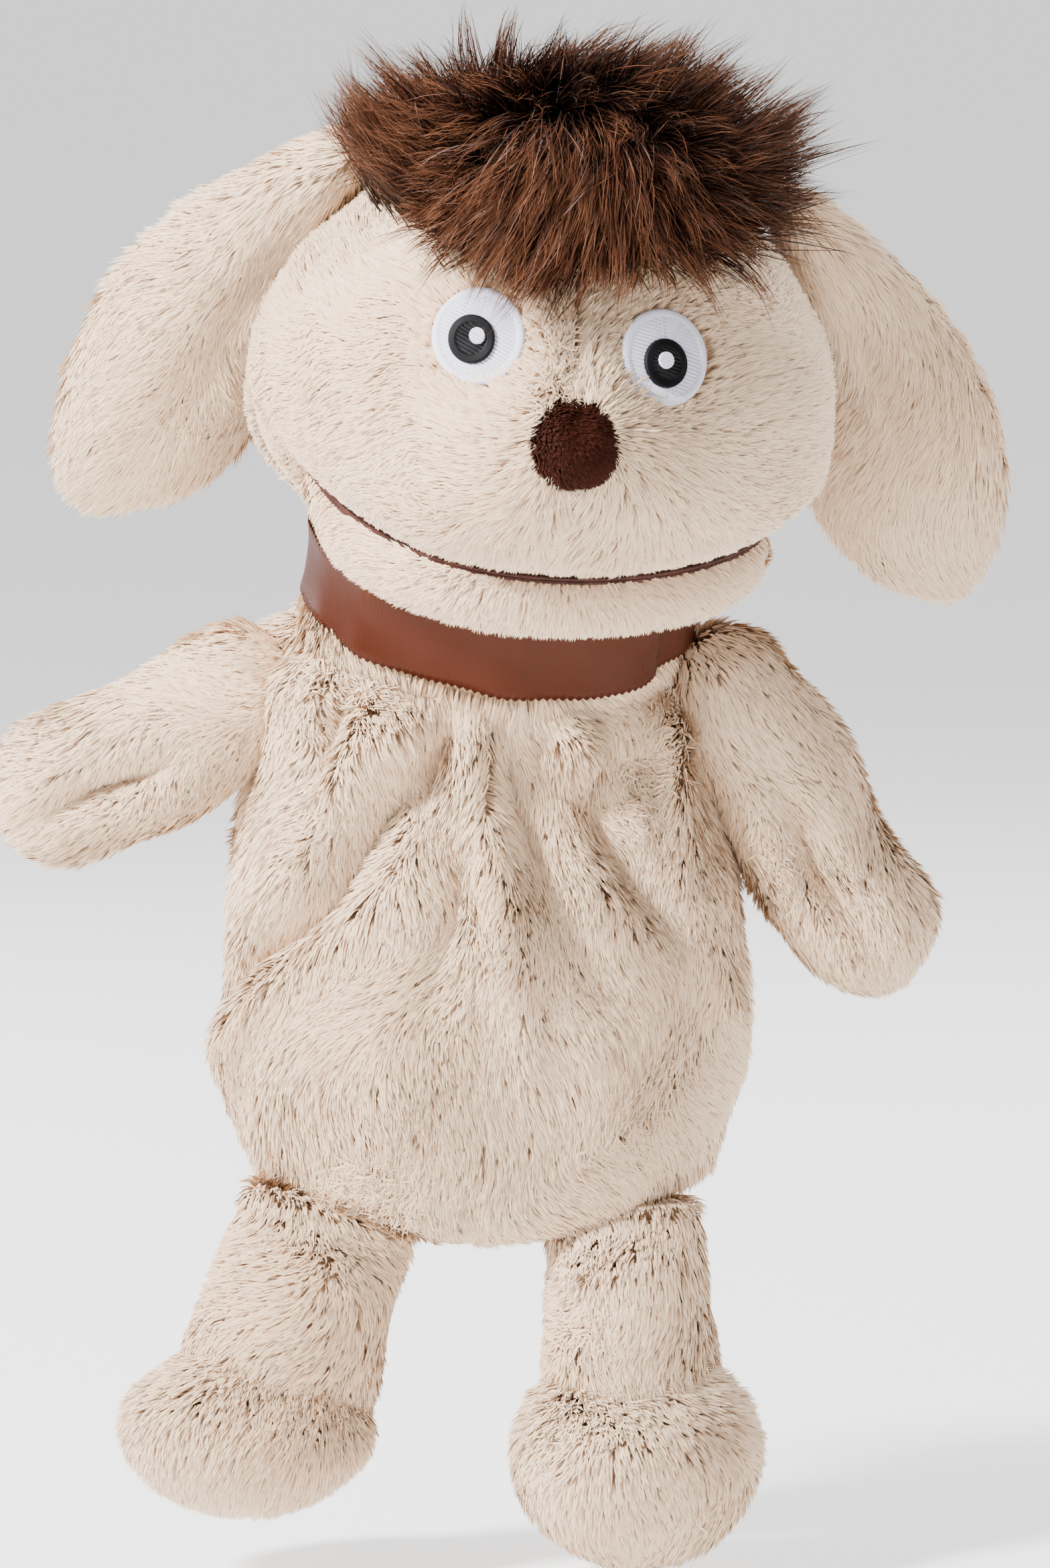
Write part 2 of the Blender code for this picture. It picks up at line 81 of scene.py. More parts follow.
# Forms
CLOTH = 0.0012
HEAD_HALF = (0.0532, 0.0435)
HEAD_UP = 0.046
HEAD_DOWN = 0.036
MUZZLE_OUT = 0.009
MOUTH = -0.0195
MOUTH_HINGE = -0.0132
CORNER_ANGLE = math.radians(70)
JAW_ANGLE = math.radians(71)
CHEEK_ANGLE = math.radians(92)
NAPE_ELEVATION = math.radians(-52)
JAW_FRONT = 0.0142
JAW_BACK = 0.007
SMILE_DIP = 0.0050  # the mouth line in the middle, under the mouth's plane
SMILE_RISE = {"left": -0.0012, "right": 0.0062}  # at the corners, over it
SLEEVE_X = -0.0035
SLEEVE_HEIGHT = 0.104
RIM_HALF = (0.0415, 0.0245)
BELLY_HALF = (0.0483, 0.0275)
TOP_HALF = (0.036, 0.0265)
BELLY_SHARE = 0.36
RIM_RISE = 0.009
RIBBON_HALF = (0.0369, 0.0264)
RIBBON_WIDTH = 0.015
RIBBON_TOP = 0.006
RIBBON_TIGHT = 0.0016  # how far the sleeve is drawn in under it
SIDES = (("left", 1), ("right", -1))
EYE_SPREAD = {"left": math.radians(22), "right": math.radians(23)}
EYE_ELEVATION = {"left": math.radians(26), "right": math.radians(28)}
PUPIL_SHIFT = {"left": (-0.05, -0.12), "right": (-0.12, -0.10)}  # in eye radii
GLINT_SHIFT = {"left": (-0.08, -0.08), "right": (0.02, -0.04)}
EYE_RADIUS = 0.0094
NOSE_ELEVATION = math.radians(7)
NOSE_RADIUS = 0.0088
EAR_HANG = {"left": math.radians(61), "right": math.radians(59)}
EAR_SHIFT = {"left": Vector((0, 0, -0.009)), "right": Vector((0.008, 0, -0.003))}
EAR_LEAN_BACK = math.radians(10)
EAR_ROOT = 0.0125  # how far it reaches back past its pivot
EAR_LENGTH = 0.080
EAR_HALF_WIDTH = 0.0182
EAR_PUFF = 0.0052
ARM_HANG = {"left": math.radians(61), "right": math.radians(29)}
ARM_LENGTH = {"left": 0.0560, "right": 0.0425}
ARM_SHIFT = {"left": Vector((-0.0045, 0, -0.0035)), "right": Vector((0.001, 0, -0.002))}
ARM_ROOT = 0.019
ARM_HALF_WIDTH = {"left": 0.0122, "right": 0.0130}
ARM_PUFF = 0.0085
ARM_DENT = 0.0070
THIGH_SPLAY = {"left": math.radians(3), "right": math.radians(18)}
THIGH_HALF_WIDTH = {"left": 0.0130, "right": 0.0152}
FOOT_SWAY = {"left": 0.0, "right": -0.3}  # sideways for each unit of length
FOOT_LENGTH = {"left": 0.0325, "right": 0.0255}
FOOT_HALF_WIDTH = {"left": 0.0218, "right": 0.0208}
FOOT_HALF_DEPTH = 0.0180

# Felt in the mouth
FELT_THICK = 0.0006

# Pile: lengths, the width of a strand, and how strands gather in wisps
BODY_PILE = 0.0055
FACE_PILE = 0.0048
JAW_PILE = 0.0042
NOSE_PILE_LENGTH = 0.0024
THROAT_PILE = 0.002
PILE_WIDTH = 0.00055
CLUMP_SIZE = 14
CLUMP = 0.4
CURL = 0.12
WILD = 0.6
PILE_DROOP = 0.25

# Tuft
TUFT_ELEVATION = math.radians(84)
TUFT_HALF = (0.041, 0.032)
TUFT_RISE = 0.012
WISPS = 1000
WISP_STRANDS = 26
WISP_STEPS = 5
WISP_LENGTH = (0.0135, 0.0095)  # the shortest, and how much the longest adds
WISP_LEAN = (0.16, -0.12, 0.0)
WISP_LOOSE = 0.0016
TIP_LOOSE = 0.0011
WISP_WIDTH = 0.00034


def turn(axis, angle):
    return Matrix.Rotation(angle, 4, axis)


def mix(a, b, share):
    return a + (b - a) * share


def smooth(x):
    x = min(max(x, 0), 1)
    return x * x * (3 - 2 * x)


def bump(x, width):
    return math.exp(-((x / width) ** 2))


NECK = Matrix.Translation(NECK_CENTRE) @ turn("Y", NECK_ROLL) @ turn("X", NECK_LEAN)
HEAD = NECK @ Matrix.Translation(HEAD_OFFSET) @ turn("Z", HEAD_YAW) @ turn("X", HEAD_PITCH)


# ---------------------------------------------------------------- materials


def new_material(name):
    made = bpy.data.materials.new(name)
    made.use_nodes = True
    nodes = made.node_tree.nodes
    return made, nodes, made.node_tree.links, nodes["Principled BSDF"]


def add_ramp(nodes, stops):
    ramp = nodes.new("ShaderNodeValToRGB")
    ramp.color_ramp.elements[0].position = stops[0][0]
    ramp.color_ramp.elements[0].color = (*stops[0][1], 1)
    ramp.color_ramp.elements[1].position = stops[-1][0]
    ramp.color_ramp.elements[1].color = (*stops[-1][1], 1)
    for place, rgb in stops[1:-1]:
        ramp.color_ramp.elements.new(place).color = (*rgb, 1)
    return ramp


def add_strand_data(nodes, links):
    """The values that set_strand_data stored on the mesh's points, as separate channels."""
    strand = nodes.new("ShaderNodeAttribute")
    strand.attribute_name = "strand"
    split = nodes.new("ShaderNodeSeparateColor")
    links.new(strand.outputs["Color"], split.inputs["Color"])
    return split


def add_relief(nodes, links, shader, height, strength, distance):
    relief = nodes.new("ShaderNodeBump")
    relief.inputs["Strength"].default_value = strength
    relief.inputs["Distance"].default_value = distance
    links.new(height, relief.inputs["Height"])
    links.new(relief.outputs["Normal"], shader.inputs["Normal"])


def fur_material(name, stops, tone_low, tone_high, sheen=0.25, roughness=0.75, gloss=0.5):
    """Pile: the colour runs from root to tip, darker at the roots as painted shade deep in the pile, and
    each strand has its own tone.
    """
    made, nodes, links, shader = new_material(name)
    split = add_strand_data(nodes, links)
    ramp = add_ramp(nodes, stops)
    # The root-to-tip ramp: its darker roots are painted shade deep in the pile
    links.new(split.outputs["Green"], ramp.inputs["Fac"])
    tones = add_ramp(nodes, ((0.0, tone_low), (1.0, tone_high)))
    links.new(split.outputs["Red"], tones.inputs["Fac"])
    both = nodes.new("ShaderNodeMix")
    both.data_type = "RGBA"
    both.blend_type = "MULTIPLY"
    both.inputs["Factor"].default_value = 1
    links.new(ramp.outputs["Color"], both.inputs[6])
    links.new(tones.outputs["Color"], both.inputs[7])
    links.new(both.outputs[2], shader.inputs["Base Color"])
    shader.inputs["Roughness"].default_value = roughness
    shader.inputs["Specular IOR Level"].default_value = gloss
    shader.inputs["Sheen Weight"].default_value = sheen
    shader.inputs["Sheen Roughness"].default_value = 0.4
    shader.inputs["Sheen Tint"].default_value = (1.0, 0.86, 0.70, 1)
    return made


def cloth_material(name, dark, light, scale=900, roughness=0.9, bump_height=0.4, sheen=0.2):
    """Woven or knitted backing, with mottled colour and a fine grain."""
    made, nodes, links, shader = new_material(name)
    place = nodes.new("ShaderNodeTexCoord")
    mottle = nodes.new("ShaderNodeTexNoise")
    mottle.inputs["Scale"].default_value = scale / 8
    mottle.inputs["Detail"].default_value = 6
    links.new(place.outputs["Object"], mottle.inputs["Vector"])
    ramp = add_ramp(nodes, ((0.3, dark), (0.7, light)))
    links.new(mottle.outputs["Fac"], ramp.inputs["Fac"])
    links.new(ramp.outputs["Color"], shader.inputs["Base Color"])
    grain = nodes.new("ShaderNodeTexNoise")
    grain.inputs["Scale"].default_value = scale
    grain.inputs["Detail"].default_value = 4
    links.new(place.outputs["Object"], grain.inputs["Vector"])
    add_relief(nodes, links, shader, grain.outputs["Fac"], bump_height, 0.0006)
    shader.inputs["Roughness"].default_value = roughness
    shader.inputs["Sheen Weight"].default_value = sheen
    return made


def thread_material(name, dark, light, roughness=0.45):
    """Shiny embroidery thread: the colour runs from dark in the gaps between stitches to light on their
    tops, following the stitches' height, as painted shade in the gaps.
    """
    made, nodes, links, shader = new_material(name)
    split = add_strand_data(nodes, links)
    ramp = add_ramp(nodes, ((0.0, dark), (0.75, light)))
    links.new(split.outputs["Green"], ramp.inputs["Fac"])
    links.new(ramp.outputs["Color"], shader.inputs["Base Color"])
    shader.inputs["Roughness"].default_value = roughness
    shader.inputs["Specular IOR Level"].default_value = 0.2
    return made


def satin_material():
    """Warp-faced ribbon: fine slanting ribs across a glossy brown, painted darker where the ribs are low
    as painted shade in their grooves.
    """
    made, nodes, links, shader = new_material("satin_ribbon")
    split = add_strand_data(nodes, links)
    place = nodes.new("ShaderNodeCombineXYZ")
    links.new(split.outputs["Red"], place.inputs["X"])
    links.new(split.outputs["Green"], place.inputs["Y"])
    slant = nodes.new("ShaderNodeMapping")
    slant.inputs["Scale"].default_value = (260, 26, 1)
    slant.inputs["Rotation"].default_value = (0, 0, math.radians(4))
    links.new(place.outputs["Vector"], slant.inputs["Vector"])
    wave = nodes.new("ShaderNodeTexWave")
    wave.inputs["Scale"].default_value = 1.0
    wave.inputs["Distortion"].default_value = 0.6
    links.new(slant.outputs["Vector"], wave.inputs["Vector"])
    # The brown darkens with the same waves that make the relief: painted shade in the ribs' grooves
    ramp = add_ramp(nodes, ((0.0, (0.016, 0.002, 0.0006)), (1.0, (0.060, 0.0095, 0.003))))
    links.new(wave.outputs["Fac"], ramp.inputs["Fac"])
    links.new(ramp.outputs["Color"], shader.inputs["Base Color"])
    add_relief(nodes, links, shader, wave.outputs["Fac"], 0.35, 0.0003)
    shader.inputs["Roughness"].default_value = 0.36
    shader.inputs["Specular IOR Level"].default_value = 0.4
    shader.inputs["Specular Tint"].default_value = (1.0, 0.42, 0.26, 1)
    return made


# Each pile's stops run from root to tip: the darker roots are painted shade deep in the pile
CREAM_PILE = fur_material(
    "cream_pile",
    ((0.0, (0.62, 0.37, 0.20)), (0.4, (0.80, 0.53, 0.325)), (1.0, (0.98, 0.77, 0.545))),
    (0.86, 0.80, 0.74), (1.0, 1.0, 1.0),
)
TUFT_PILE = fur_material(
    "tuft_pile",
    ((0.0, (0.018, 0.005, 0.002)), (0.55, (0.058, 0.018, 0.008)), (1.0, (0.25, 0.095, 0.042))),
    (0.5, 0.45, 0.42), (1.0, 1.0, 1.0), 0.0, 0.5, 0.25,
)
NOSE_PILE = fur_material(
    "nose_pile",
    ((0.0, (0.014, 0.003, 0.002)), (1.0, (0.060, 0.014, 0.007))),
    (0.6, 0.55, 0.5), (1.0, 1.0, 1.0), 0.0, 0.7, 0.1,
)
CREAM_CLOTH = cloth_material("cream_cloth", (0.52, 0.32, 0.18), (0.68, 0.46, 0.29))
DARK_CLOTH = cloth_material("dark_cloth", (0.018, 0.006, 0.003), (0.040, 0.014, 0.007), sheen=0.0)
FELT = cloth_material("mouth_felt", (0.045, 0.013, 0.009), (0.085, 0.026, 0.017), 1600, 0.95, 0.8, 0.0)
LINING = cloth_material("lining_cloth", (0.42, 0.33, 0.25), (0.58, 0.48, 0.38), 2200)
FILLING = cloth_material("polyester_filling", (0.75, 0.75, 0.73), (0.92, 0.92, 0.90), 500, 0.95, 1.0)
# The threads' dark ends, lavender grey for the white, are painted shade in the gaps between stitches
WHITE_THREAD = thread_material("white_thread", (0.34, 0.31, 0.46), (0.90, 0.88, 1.0))
BLACK_THREAD = thread_material("black_thread", (0.001, 0.001, 0.001), (0.005, 0.005, 0.006), 0.6)
SATIN = satin_material()


# ---------------------------------------------------------------- forms


def as_object(name, bm, material, shift):
    bmesh.ops.transform(bm, matrix=shift, verts=bm.verts)
    mesh = bpy.data.meshes.new(name)
    bm.to_mesh(mesh)
    bm.free()
    mesh.shade_smooth()
    made = bpy.data.objects.new(name, mesh)
    made.data.materials.append(material)
    bpy.context.scene.collection.objects.link(made)
    return made


def order_faces(bm, first):
    """Puts the faces from first on in the order of their corners: solidify adds them in any order."""
    bm.verts.index_update()
    rim = sorted(bm.faces[first:], key=lambda face: [corner.index for corner in face.verts])
    for index, face in enumerate([*bm.faces[:first], *rim]):
        face.index = index
    bm.faces.sort()


def loft(name, columns, rows, place, material, shift=Matrix(), wrap=False, thick=0.0, caps=False):
    """A surface of place(s, t). A wrapped one is closed round s. A thick one gets a cloth's thickness."""
    bm = bmesh.new()
    rings = []
    for row in range(rows + 1):
        last = columns if wrap else columns + 1
        rings.append([bm.verts.new(place(column / columns, row / rows)) for column in range(last)])
    for low, high in zip(rings, rings[1:]):
        for column in range(columns):
            after = (column + 1) % len(low)
            bm.faces.new((low[column], low[after], high[after], high[column]))
    if caps:
        bm.faces.new(rings[0][::-1])
        bm.faces.new(rings[-1])
    bmesh.ops.recalc_face_normals(bm, faces=bm.faces)
    if thick:
        outer = len(bm.faces)
        bmesh.ops.solidify(bm, geom=bm.faces[:], thickness=thick)
        order_faces(bm, 2 * outer)
        bmesh.ops.recalc_face_normals(bm, faces=bm.faces)
    if bm.calc_volume(signed=True) < 0:
        bmesh.ops.reverse_faces(bm, faces=bm.faces)
    return as_object(name, bm, material, shift)


def mesh_arrays(form):
    mesh = form.data
    mesh.calc_loop_triangles()
    points = np.empty(len(mesh.vertices) * 3)
    mesh.vertices.foreach_get("co", points)
    normals = np.empty(len(mesh.vertices) * 3)
    mesh.vertices.foreach_get("normal", normals)
    faces = np.empty(len(mesh.loop_triangles) * 3, int)
    mesh.loop_triangles.foreach_get("vertices", faces)
    return points.reshape(-1, 3), normals.reshape(-1, 3), faces.reshape(-1, 3)


def unit(v):
    return v / np.maximum(np.linalg.norm(v, axis=1, keepdims=True), 1e-9)


def swirl(points, scale, seed):
    """A smooth vector field, from a few waves at the given scale."""
    rng = np.random.default_rng(seed)
    total = np.zeros_like(points)
    for _ in range(5):
        way = rng.normal(size=3) / scale
        phase = rng.random(3) * 2 * math.pi
        total += np.sin((points @ way)[:, None] + phase)
    return total / 2.5


def strands(name, roots, normals, flow, tall, lift, material, seed):
    """Builds pile: each strand is a tapering blade that leans from the normal towards the flow."""
    rng = np.random.default_rng(seed)
    n = len(roots)
    tall = tall[:, None]
    wave = swirl(roots, 0.006, seed + 5)
    path = []
    for s in (0.0, 0.5, 1.0):
        up = lift * (s - 0.4 * s * s) * tall * 1.4
        out = (1.15 - 0.6 * lift) * s**1.5 * tall
        path.append(roots + normals * up + flow * out + wave * (CURL * s * s) * tall)
    leaders = rng.permutation(n)[: max(n // CLUMP_SIZE, 1)]
    tree = KDTree(len(leaders))
    for index, leader in enumerate(leaders):
        tree.insert(roots[leader], index)
    tree.balance()
    nearest = leaders[[tree.find(root)[1] for root in roots]]
    pull = path[2][nearest] - path[2]
    pull *= np.minimum(1, 0.8 * tall / np.maximum(np.linalg.norm(pull, axis=1, keepdims=True), 1e-6))
    path[1] = path[1] + pull * CLUMP * 0.35
    path[2] = path[2] + pull * CLUMP
    heading = unit(path[2] - roots)
    side = unit(np.cross(heading, normals) + rng.normal(size=(n, 3)) * 0.3)
    half = (PILE_WIDTH * (0.6 + 0.8 * rng.random(n)))[:, None] / 2
    rows = [
        path[0] - side * half * 0.8,
        path[0] + side * half * 0.8,
        path[1] - side * half,
        path[1] + side * half,
        path[2],
    ]
    base = (np.arange(n) * len(rows))[:, None]
    faces = (base + [0, 1, 3, 2]).tolist() + (base + [2, 3, 4]).tolist()
    tone = np.clip(0.5 + 0.30 * swirl(roots, 0.012, seed + 2)[:, 0] + 0.16 * rng.normal(size=n), 0, 1)
    soft = unit(normals + heading * 0.2 + rng.normal(size=(n, 3)) * 0.2)
    along = (0.0, 0.0, 0.5, 0.5, 1.0)
    across = (-1, 1, -1, 1, 0)
    return strand_mesh(name, rows, faces, along, across, tone, soft, material)


def set_strand_data(mesh, colours):
    """Stores one colour for each point. Pile has its tone in red and its way from root to tip in green."""
    mesh.attributes.new("strand", "FLOAT_COLOR", "POINT").data.foreach_set("color", np.ravel(colours))


def strand_mesh(name, rows, faces, along, across, tone, normals, material):
    """One mesh of many strands, with each point's tone and its share of the way from root to tip."""
    per = len(rows)
    n = len(tone)
    verts = np.stack(rows, axis=1).reshape(-1, 3)
    mesh = bpy.data.meshes.new(name)
    mesh.from_pydata(verts.tolist(), [], faces)
    colour = np.zeros((per * n, 4))
    colour[:, 0] = np.repeat(tone, per)
    colour[:, 1] = np.tile(along, n)
    colour[:, 3] = 1
    set_strand_data(mesh, colour)
    u = 0.02 + 0.96 * colour[:, 0] + 0.004 * np.tile(across, n)
    flat = np.stack((u, 0.02 + 0.96 * colour[:, 1]), axis=1)
    corner = np.empty(len(mesh.loops), int)
    mesh.loops.foreach_get("vertex_index", corner)
    mesh.uv_layers.new(name="OFBake").data.foreach_set("uv", flat[corner].ravel())
    mesh.shade_smooth()
    mesh.normals_split_custom_set_from_vertices(np.repeat(normals, per, axis=0).tolist())
    made = bpy.data.objects.new(name, mesh)
    made.data.materials.append(material)
    bpy.context.scene.collection.objects.link(made)
    return made


def fur(name, form, count, pile, comb, seed, lift, material=CREAM_PILE, keep=None, shorter=None):
    """Covers a form with pile, combed along comb(points).

    keep(points, normals) leaves places bare, and shorter(points) scales the pile's length.
    """
    points, vertex_normals, faces = mesh_arrays(form)
    corners = points[faces]
    crossed = np.cross(corners[:, 1] - corners[:, 0], corners[:, 2] - corners[:, 0])
    middle = corners.mean(axis=1)
    normal = unit(vertex_normals[faces].mean(axis=1))
    weight = np.linalg.norm(crossed, axis=1)
    if keep is not None:
        weight = weight * keep(middle, normal)
    rng = np.random.default_rng(seed)
    chosen = rng.choice(len(faces), size=count, p=weight / weight.sum())
    a, b = rng.random((2, count))
    flip = a + b > 1
    a[flip], b[flip] = 1 - a[flip], 1 - b[flip]
    shares = np.stack((1 - a - b, a, b), axis=1)[:, :, None]
    roots = (corners[chosen] * shares).sum(axis=1)
    normals = unit((vertex_normals[faces[chosen]] * shares).sum(axis=1))
    flow = unit(comb(roots)) + swirl(roots, 0.010, seed + 1) * WILD + rng.normal(size=(count, 3)) * 0.2
    flow = unit(flow - normals * (flow * normals).sum(axis=1, keepdims=True))
    tall = pile * (0.7 + 0.5 * rng.random(count))
    if shorter is not None:
        tall = tall * shorter(roots)
    return strands(name, roots, normals, flow, tall, lift, material, seed)


def down(points):
    return np.tile((0.0, 0.0, -1.0), (len(points), 1))


# ---------------------------------------------------------------- head


def head_point(azimuth, elevation, inset=0.0):
    """A point of the head's skin. Azimuth 0 is the nose's side, and grows towards the dog's left."""
    d = Vector(
        (
            math.sin(azimuth) * math.cos(elevation),
            -math.cos(azimuth) * math.cos(elevation),
            math.sin(elevation),
        )
    )
    height = HEAD_UP if d.z > 0 else HEAD_DOWN
    bulge = MUZZLE_OUT * bump(azimuth, 0.7) * bump(elevation + 0.05, 0.42)
    cheek = 1 + (0.055 if azimuth > 0 else 0.03) * bump(elevation + 0.3, 0.4)
    brow = 0.0015 * bump(abs(azimuth) - 0.45, 0.3) * bump(elevation - 0.85, 0.2)
    seam = -0.0012 * bump(azimuth, 0.05) * smooth(elevation / 0.3)
    out = brow + seam - inset
    return Vector(
        (
            (HEAD_HALF[0] * cheek + out) * d.x,
            (HEAD_HALF[1] + out) * d.y - bulge,
            (height + out) * d.z,
        )
    )


MOUTH_ELEVATION = math.asin(MOUTH / HEAD_DOWN)


def skin_foot(azimuth):
    share = (abs(azimuth) - CORNER_ANGLE) / (CHEEK_ANGLE - CORNER_ANGLE)
    return mix(MOUTH_ELEVATION, NAPE_ELEVATION, smooth(share))


def lip_height(azimuth):
    """The mouth line's height: it smiles, and more so on the dog's right."""
    share = min(abs(azimuth) / CORNER_ANGLE, 1.3)
    rise = SMILE_RISE["left" if azimuth > 0 else "right"]
    return MOUTH - SMILE_DIP * (1 - share * share) + rise * share**3


def lip_point(azimuth, inset=0.0):
    edge = head_point(azimuth, MOUTH_ELEVATION, inset)
    return Vector((edge.x, edge.y, lip_height(azimuth)))


HEAD_BACK = np.array(HEAD.inverted())


def in_head(points):
    return points @ HEAD_BACK[:3, :3].T + HEAD_BACK[:3, 3]


def from_lip(p):
    """How far points in the head's frame are over the mouth line."""
    azimuths = np.arctan2(p[:, 0], -p[:, 1])
    return p[:, 2] - np.array([lip_height(azimuth) for azimuth in azimuths])


def make_head():
    def place(s, t):
        azimuth = mix(-math.pi, math.pi, s)
        elevation = mix(skin_foot(azimuth), math.radians(89.5), t)
        point = head_point(azimuth, elevation)
        lip = lip_point(azimuth)
        front = 1 - smooth((abs(azimuth) - CORNER_ANGLE) / 0.15)
        moved = (lip.z - head_point(azimuth, MOUTH_ELEVATION).z) * front * (1 - smooth(t / 0.42))
        point.z += moved
        point.y += 0.0012 * front * (1 - smooth(t / 0.05))
        return point

    form = loft("head_form", 120, 56, place, CREAM_CLOTH, HEAD, wrap=True, thick=CLOTH)
    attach(form, "head")
    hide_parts("face_left_panel", "face_right_panel", "head_back_panel")
    nose = np.array((0.0, -0.06, 0.008))
    eyes = []
    for side, sign in SIDES:
        eyes.append(np.array(on_head(sign * EYE_SPREAD[side], EYE_ELEVATION[side], 1, 0, 0)[0]))

    def comb(points):
        p = in_head(points)
        flow = unit(p - nose) + np.array((0, 0.25, -0.30)) * (p[:, 2:3] < 0.03)
        return flow @ HEAD_BACK[:3, :3]

    def outside(points, normals):
        p = in_head(points)
        n = normals @ HEAD_BACK[:3, :3].T
        scale = np.where(p[:, 2] > 0, HEAD_UP, HEAD_DOWN)
        wide, deep = HEAD_HALF
        shape = np.stack((p[:, 0] / wide**2, p[:, 1] / deep**2, p[:, 2] / scale**2), axis=1)
        keep = ((unit(shape) * n).sum(axis=1) > 0.3).astype(float)
        for eye in eyes:
            keep *= np.linalg.norm(p - eye, axis=1) > EYE_RADIUS - 0.0002
        return keep

    def shorter(points):
        p = in_head(points)
        over = np.where(p[:, 1] < 0, from_lip(p), 0.02)
        share = 0.35 + 0.65 * np.clip(over / 0.008, 0, 1)
        for eye in eyes:
            gap = np.linalg.norm(p - eye, axis=1) - EYE_RADIUS
            share *= 0.5 + 0.5 * np.clip(gap / 0.006, 0, 1)
        return share

    parts = (
        ("face_left_pile", 52000, 11, lambda p: (p[:, 1] < 0.012) * (p[:, 0] > 0)),
        ("face_right_pile", 52000, 12, lambda p: (p[:, 1] < 0.012) * (p[:, 0] <= 0)),
        ("back_of_head_pile", 50000, 13, lambda p: p[:, 1] >= 0.012),
    )
    for name, count, seed, where in parts:

        def keep(points, normals, where=where):
            return outside(points, normals) * where(in_head(points))

        pile = fur(name, form, count, FACE_PILE, comb, seed, 0.7, keep=keep, shorter=shorter)
        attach(pile, "head")


def jaw_point(s, t):
    azimuth = mix(-1, 1, s) * JAW_ANGLE
    edge = lip_point(azimuth, -0.0008)
    sides = math.sqrt(max(1 - (abs(azimuth) / (JAW_ANGLE + 0.01)) ** 5, 0))
    drop = mix(JAW_BACK, JAW_FRONT, t) * sides * max(1 - t**4, 0) ** 0.4
    return Vector((edge.x, mix(MOUTH_HINGE + 0.004, edge.y, t), edge.z - 0.0012 - drop))


def make_jaw():
    form = loft("jaw_form", 72, 24, jaw_point, CREAM_CLOTH, HEAD, thick=CLOTH)
    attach(form, "jaw")
    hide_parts("jaw_skin", "thumb_pocket")

    def comb(points):
        p = in_head(points)
        flow = np.stack((p[:, 0] * 12, np.full(len(p), 0.3), np.full(len(p), -0.8)), axis=1)
        return flow @ HEAD_BACK[:3, :3]

    def keep(points, normals):
        n = normals @ HEAD_BACK[:3, :3].T
        p = in_head(points)
        outward = (n * unit(p * (1, 1, 0) + (0, 0, -0.02))).sum(axis=1)
        return (outward > 0.1).astype(float)

    def shorter(points):
        under = -from_lip(in_head(points))
        return 0.4 + 0.6 * np.clip(under / 0.006, 0, 1)

    pile = fur("jaw_pile", form, 34000, JAW_PILE, comb, 14, 0.5, keep=keep, shorter=shorter)
    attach(pile, "jaw")
    lip = HEAD @ lip_point(0)
    for piece in (form, pile):
        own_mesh(piece)


def make_mouth():
    """Two felt sheets that follow the smiling mouth line: their edges show as a dark line in it."""
    sheets = (
        ("palate", "head", "upper_mouth_felt", 1),
        ("tongue_side", "jaw", "lower_mouth_felt", -1),
    )
    for name, body, node, gap in sheets:

        def place(s, t, gap=gap):
            azimuth = mix(-1, 1, s) * (CORNER_ANGLE + math.radians(1))
            edge = lip_point(azimuth, -0.0016)
            height = mix(MOUTH, edge.z, smooth(t)) - FELT_THICK + gap * 0.00035
            return Vector((edge.x, mix(MOUTH_HINGE, edge.y, t), height))

        felt = loft(f"{name}_felt", 72, 16, place, FELT, HEAD, thick=FELT_THICK)
        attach(felt, body)
        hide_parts(node)


def on_head(azimuth, elevation, radius, x, y):
    """A point of the head near a centre, x across and y up within a radius, and the way out there."""
    centre = head_point(azimuth, elevation)
    wide, deep = HEAD_HALF
    way = Vector((centre.x / wide**2, centre.y / deep**2, centre.z / HEAD_UP**2)).normalized()
    across = Vector((0, 0, 1)).cross(way).normalized()
    up = way.cross(across).normalized()
    near = centre + across * (radius * x) + up * (radius * y)
    flat = Vector((near.x / wide, near.y / deep, near.z / HEAD_UP)).normalized()
    return head_point(math.atan2(flat.x, -flat.y), math.asin(flat.z)), way


def stitched_disc(name, azimuth, elevation, radius, height, material, border, lines):
    """An embroidered disc: straight fill stitches, and a raised ring of radial satin stitches."""
    around, rings = 220, 26
    bm = bmesh.new()
    tone = []
    rows = []
    for ring in range(rings + 1):
        r = ring / rings
        row = []
        for column in range(around):
            angle = 2 * math.pi * column / around
            x, y = r * math.cos(angle), r * math.sin(angle)
            inside = r < border
            ridge = abs(math.sin(lines * (y + 0.35 * x))) if inside else abs(math.sin(angle * around / 4))
            edge = smooth((1 - r) / 0.05)
            raised = 0.00022 * smooth((r - border) / 0.05) * edge
            base, way = on_head(azimuth, elevation, radius, x, y)
            lift = height * (0.35 + 0.65 * edge) + raised + 0.00026 * ridge * edge
            row.append(bm.verts.new(base + way * lift))
            # The colour darkens in the gaps between stitches and over the flat fill, less on the raised
            # ring: painted shade
            tone.append((0.5, (0.20 + 0.5 * ridge) if inside else (0.45 + 0.55 * ridge), 0, 1))
        rows.append(row)
    for low, high in zip(rows, rows[1:]):
        for column in range(around):
            after = (column + 1) % around
            bm.faces.new((low[column], low[after], high[after], high[column]))
    foot = []
    for column in range(around):
        angle = 2 * math.pi * column / around
        base, way = on_head(azimuth, elevation, radius, math.cos(angle), math.sin(angle))
        foot.append(bm.verts.new(base - way * 0.0004))
        # The disc's side is painted dark: painted shade at its edge
        tone.append((0.5, 0.2, 0, 1))
    for column in range(around):
        after = (column + 1) % around
        bm.faces.new((rows[-1][column], rows[-1][after], foot[after], foot[column]))
    bm.faces.new(foot[::-1])
    bmesh.ops.recalc_face_normals(bm, faces=bm.faces)
    made = as_object(name, bm, material, HEAD)
    set_strand_data(made.data, tone)
    return made


